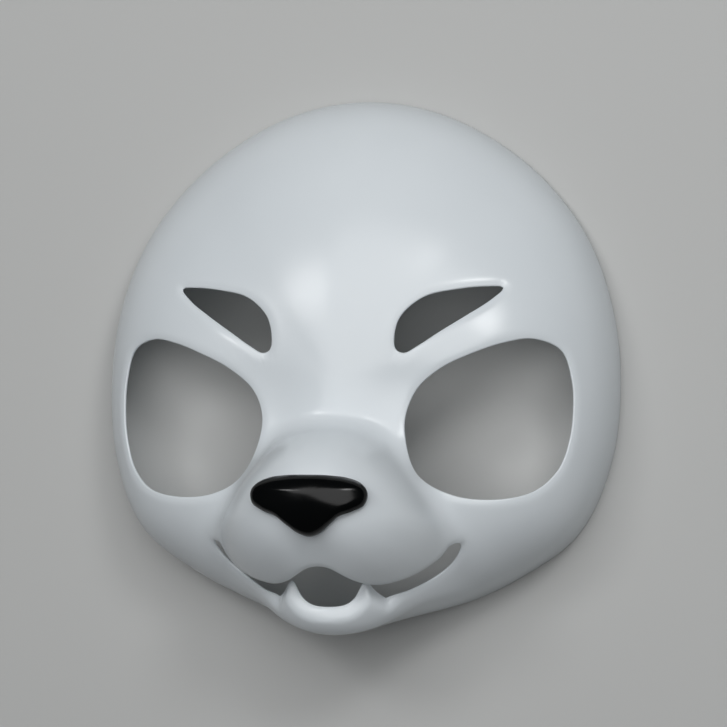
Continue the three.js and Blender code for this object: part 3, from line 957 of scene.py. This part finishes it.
def pad_height(xy):
    """The pad's thickness over the skin: rounded at its edge and highest along its bend."""
    edge = np.clip(distance_to(xy, nose_outline) / EDGE_ROUND, 0, 1)
    rounding = np.sqrt(1 - (1 - edge) ** 2)
    down = (nose_top_y - xy[:, 1]) / NOSE_HEIGHT - BEND_SHARE
    above_bend = np.maximum(-down, 0) / BEND_SHARE
    below_bend = np.maximum(down, 0) / (1 - BEND_SHARE)
    lean = 1 - TOP_LEAN * above_bend**LEAN_BEND - TIP_LEAN * below_bend**LEAN_BEND
    return NOSE_THICKNESS * lean * (EDGE_SHARE + (1 - EDGE_SHARE) * rounding)


shares = 1 - (np.arange(NOSE_RINGS) / NOSE_RINGS) ** RING_CROWDING
rings_xy = [nose_middle + (nose_outline - nose_middle) * ring_share for ring_share in shares]
rings_xy = np.vstack([*rings_xy, nose_middle])
under = skin_in_front(upper_field, rings_xy)
lift = outward_at(upper_field, under)
front = under + lift * (GLUE_GAP + pad_height(rings_xy))[:, None]
back = under + lift * GLUE_GAP
count = len(nose_outline)
pad_points = np.vstack([front, back])
pad_faces = []
for layer, turn in ((0, False), (len(front), True)):
    for ring in range(NOSE_RINGS):
        for k in range(count):
            here, after = layer + ring * count + k, layer + ring * count + (k + 1) % count
            if ring < NOSE_RINGS - 1:
                face = [here, after, after + count, here + count]
            else:
                face = [here, after, layer + NOSE_RINGS * count]
            pad_faces.append(face[::-1] if turn else face)
for k in range(count):
    after = (k + 1) % count
    pad_faces.append([k, len(front) + k, len(front) + after, after])
nose_mesh = bpy.data.meshes.new("nose_pad")
nose_mesh.from_pydata((pad_points * MM).tolist(), [], pad_faces)
pad = bmesh.new()
pad.from_mesh(nose_mesh)
bmesh.ops.recalc_face_normals(pad, faces=pad.faces)
print("nose pad volume cm3", round(pad.calc_volume(signed=True) * 1e6, 2))
pad.to_mesh(nose_mesh)
pad.free()
nose_mesh.shade_smooth()
nose = bpy.data.objects.new("nose_pad", nose_mesh)
bpy.context.scene.collection.objects.link(nose)
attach(nose, "root")
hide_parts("nose")

# %% [markdown]
# The pad is the same kind of plastic, dyed black and polished harder, so its highlights are
# smaller and sharper and everything beside them is nearly black.

# %% The black plastic
black = plastic(
    "gloss_black_plastic",
    light="#080A0B",
    dark="#040404",
    roughness=(0.14, 0.2),
    cloud_mm=25,
    peel_mm=4,
    peel_height_mm=0.03,
    specular=0.25,
)
nose_mesh.materials.append(black)
print("material:", black.name)

# %% [markdown]
# The mask lies face up on a plain pale floor. The camera looks down on it at the photograph's
# angle. Only the ratio of lens to distance shows in a photograph, so the distance is chosen, as
# far as a product camera would stand, and the lens follows from it.

# %% Floor and camera
FLOOR_REACH, FLOOR_ROUGHNESS = 4, 0.7
CAMERA_DISTANCE, LENS, SENSOR_WIDTH, NEAR_CLIP = 1.5, 166.2, 36, 0.05

# How far the middle of the frame is from the object's own middle, in metres
MIDDLE_UP, FRAME_RIGHT, FRAME_UP = 0.00223, 0.00112, 0.00094

floor_mesh = bpy.data.meshes.new("floor")
corner_signs = ((-1, -1), (1, -1), (1, 1), (-1, 1))
floor_corners = [(x * FLOOR_REACH, y * FLOOR_REACH, 0) for x, y in corner_signs]
floor_mesh.from_pydata(floor_corners, [], [(0, 1, 2, 3)])
floor = bpy.data.objects.new("floor", floor_mesh)
bpy.context.scene.collection.objects.link(floor)
floor_material = bpy.data.materials.new("pale_floor")
floor_material.use_nodes = True
floor_shader = floor_material.node_tree.nodes["Principled BSDF"]
floor_shader.inputs["Base Color"].default_value = linear("#BEBFBE")
floor_shader.inputs["Roughness"].default_value = FLOOR_ROUGHNESS
floor_mesh.materials.append(floor_material)

back_axis = Vector((0.22495, -0.05099, 0.97304)).normalized()
right_axis = Vector((0.97437, 0.01177, -0.22464)).normalized()
up_axis = back_axis.cross(right_axis)
photo_middle = Vector((0, MIDDLE_UP, 0))
target = photo_middle - right_axis * FRAME_RIGHT - up_axis * FRAME_UP
camera_data = bpy.data.cameras.new("camera")
camera_data.sensor_width = SENSOR_WIDTH
camera_data.lens = LENS
camera_data.clip_start = NEAR_CLIP
camera = bpy.data.objects.new("camera", camera_data)
turn = Matrix((right_axis, up_axis, back_axis)).transposed().to_4x4()
camera.matrix_world = Matrix.Translation(target + back_axis * CAMERA_DISTANCE) @ turn
bpy.context.scene.collection.objects.link(camera)
bpy.context.scene.camera = camera
print("camera:", CAMERA_DISTANCE, "m away, lens", LENS, "mm")

# %% [markdown]
# One very large soft lamp near the camera and a little above it matches the photograph's even
# shading. Two small soft lamps, one on each side, add the soft highlights on the brows and the
# bridge. A sky that is nearly dark keeps the shaded places from turning black.

# %% Light
SKY_STRENGTH = 0.04


def soft_lamp(name, turned, raised, distance, size, power):
    """A round soft lamp, placed by its degrees to the right of the camera and above it."""
    data = bpy.data.lights.new(name, "AREA")
    data.shape = "DISK"
    data.size = size
    data.energy = power
    lamp = bpy.data.objects.new(name, data)
    turned, raised = np.radians(turned), np.radians(raised)
    level = right_axis * np.sin(turned) + back_axis * np.cos(turned)
    away = level * np.cos(raised) + up_axis * np.sin(raised)
    aim = away.to_track_quat("Z", "Y").to_matrix().to_4x4()
    lamp.matrix_world = Matrix.Translation(target + away * distance) @ aim
    bpy.context.scene.collection.objects.link(lamp)


soft_lamp("key_lamp", turned=-8, raised=15, distance=1.8, size=2.0, power=22)
soft_lamp("right_lamp", turned=17, raised=30, distance=1.5, size=0.35, power=3.2)
soft_lamp("left_lamp", turned=-40, raised=24, distance=1.5, size=0.35, power=2.4)
world = bpy.data.worlds.new("studio")
bpy.context.scene.world = world
world.use_nodes = True
sky = world.node_tree.nodes["Background"]
sky.inputs["Color"].default_value = linear("#DDE3E8")
sky.inputs["Strength"].default_value = SKY_STRENGTH
bpy.context.scene.view_settings.view_transform = "Standard"

# %% Bringing the scene up to date
bpy.context.view_layer.update()
